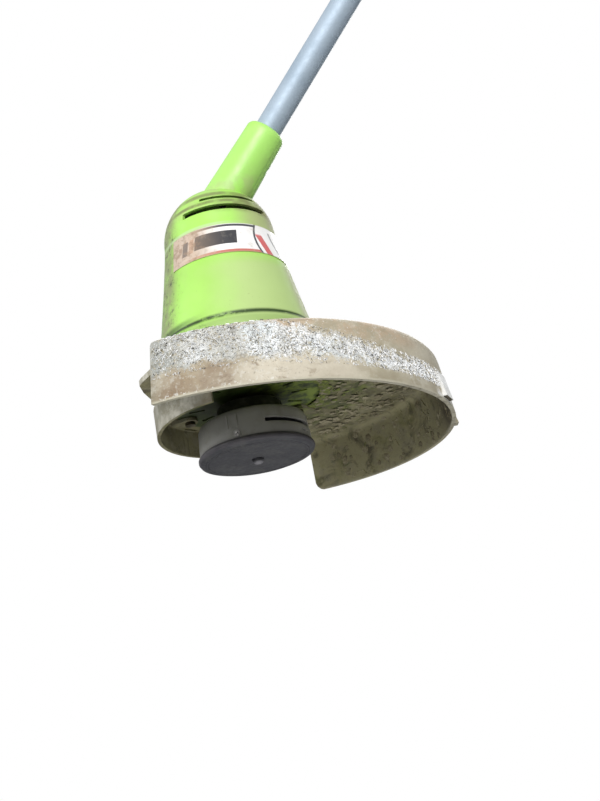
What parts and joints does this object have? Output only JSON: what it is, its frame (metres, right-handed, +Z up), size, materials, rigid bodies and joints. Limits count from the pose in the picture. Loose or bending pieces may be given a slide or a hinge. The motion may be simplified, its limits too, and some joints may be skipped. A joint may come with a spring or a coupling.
{
  "type": "string trimmer",
  "caption": "Electric string trimmer: motor housing and tap-feed line head under a half-round guard, on a leaning tube with a front loop handle and a rear switch handle.",
  "frame": {"origin": "tip of the tap button under the line head, the point that touches the ground in use", "axes": "+Z up the line head's spin axis, +X towards the user, who holds the tube that leans 43.7 degrees from +Z towards +X; +Y to the user's right"},
  "size_m": [0.884, 0.299, 1.0053],
  "materials": {
    "lime_plastic": "moulded lime green plastic, satin, grimy",
    "charcoal_plastic": "dark charcoal moulded plastic, scuffed",
    "guard_plastic": "aged beige translucent plastic under dried grass",
    "black_plastic": "black moulded plastic",
    "red_plastic": "red moulded plastic",
    "label_print": "printed vinyl label, worn",
    "tube_paint": "blue grey powder coat",
    "grip_rubber": "soft ribbed rubber",
    "zinc_steel": "zinc plated steel",
    "blade_steel": "plain steel",
    "lamination_steel": "laminated electrical steel",
    "copper_wire": "enamelled copper",
    "brass_strip": "brass",
    "carbon": "pressed carbon",
    "capacitor_case": "resin capacitor case",
    "nylon_line": "orange nylon line",
    "eyelet_metal": "aluminium eyelet",
    "lead_sheath": "rubber sheathed lead"
  },
  "bodies": {
    "frame": {"housing_left": "lime_plastic", "housing_right": "lime_plastic", "housing_base": "lime_plastic", "housing_screws": "zinc_steel", "side_label": "label_print", "guard": "guard_plastic", "guard_screws": "zinc_steel", "line_cutter": "blade_steel", "cutter_screws": "zinc_steel", "stator_core": "lamination_steel", "field_coils": "copper_wire", "upper_bearing": "blade_steel", "lower_bearing": "blade_steel", "brush_bracket": "black_plastic", "bracket_bolts": "zinc_steel", "brush_holders": "brass_strip", "carbon_brushes": "carbon", "brush_springs": "blade_steel", "capacitor": "capacitor_case", "shaft_tube": "tube_paint", "power_lead": "lead_sheath", "clamp_upper": "black_plastic", "clamp_lower": "black_plastic", "clamp_screws": "zinc_steel", "clamp_bolt": "zinc_steel", "handle_left": "lime_plastic", "handle_right": "lime_plastic", "handle_screws": "zinc_steel", "trigger_pin": "blade_steel", "switch_body": "black_plastic", "trigger_spring": "blade_steel", "lock_spring": "blade_steel", "power_inlet": "black_plastic", "inlet_pins": "brass_strip"},
    "line_head": {"armature_core": "lamination_steel", "armature_windings": "copper_wire", "commutator": "copper_wire", "motor_shaft": "blade_steel", "cooling_fan": "black_plastic", "spool_cup": "charcoal_plastic", "spool_cap": "charcoal_plastic", "line_ends": "nylon_line", "line_eyelets": "eyelet_metal", "drive_pin": "blade_steel"},
    "tap": {"tap_button": "charcoal_plastic", "feed_spring": "blade_steel"},
    "spool": {"line_spool": "black_plastic", "line_coil": "nylon_line"},
    "trigger": {"trigger": "black_plastic"},
    "plunger": {"switch_plunger": "red_plastic"},
    "lock": {"lock_button": "black_plastic"},
    "aux_loop": {"aux_handle": "lime_plastic", "aux_grip": "grip_rubber"},
    "knob": {"clamp_knob": "black_plastic"}
  },
  "joints": [
    {"name": "head_spin", "type": "hinge", "parent": "frame", "child": "line_head", "pos_m": [0, 0, 0.05], "axis": [0, 0, 1], "continuous": true},
    {"name": "tap_feed", "type": "slide", "parent": "line_head", "child": "tap", "axis": [0, 0, 1], "range_m": [0, 0.0035], "stiffness_N_per_m": 1500, "springref_m": -0.004, "deforming": ["feed_spring"]},
    {"name": "spool_index", "type": "hinge", "parent": "tap", "child": "spool", "pos_m": [0, 0, 0.015], "axis": [0, 0, 1], "continuous": true},
    {"name": "trigger_squeeze", "type": "hinge", "parent": "frame", "child": "trigger", "pos_m": [0.63089, 0, 0.85317], "axis": [0, -1, 0], "range_deg": [0, 9], "stiffness_Nm_per_rad": 1, "springref_deg": -8.59, "deforming": ["trigger_spring"]},
    {"name": "switch_press", "type": "slide", "parent": "frame", "child": "plunger", "axis": [-0.723, 0, 0.6909], "range_m": [0, 0.0045]},
    {"name": "lock_press", "type": "slide", "parent": "frame", "child": "lock", "axis": [0.723, 0, -0.6909], "range_m": [0, 0.003], "stiffness_N_per_m": 800, "springref_m": -0.002, "deforming": ["lock_spring"]},
    {"name": "aux_tilt", "type": "hinge", "parent": "frame", "child": "aux_loop", "pos_m": [0.36977, 0, 0.64072], "axis": [0, 1, 0], "range_deg": [-40, 50]},
    {"name": "knob_turn", "type": "hinge", "parent": "frame", "child": "knob", "pos_m": [0.36977, 0, 0.64072], "axis": [0, 1, 0], "continuous": true}
  ],
  "couplings": [
    {"joint": "switch_press", "follows": "trigger_squeeze", "m_per_rad": 0.026}
  ]
}
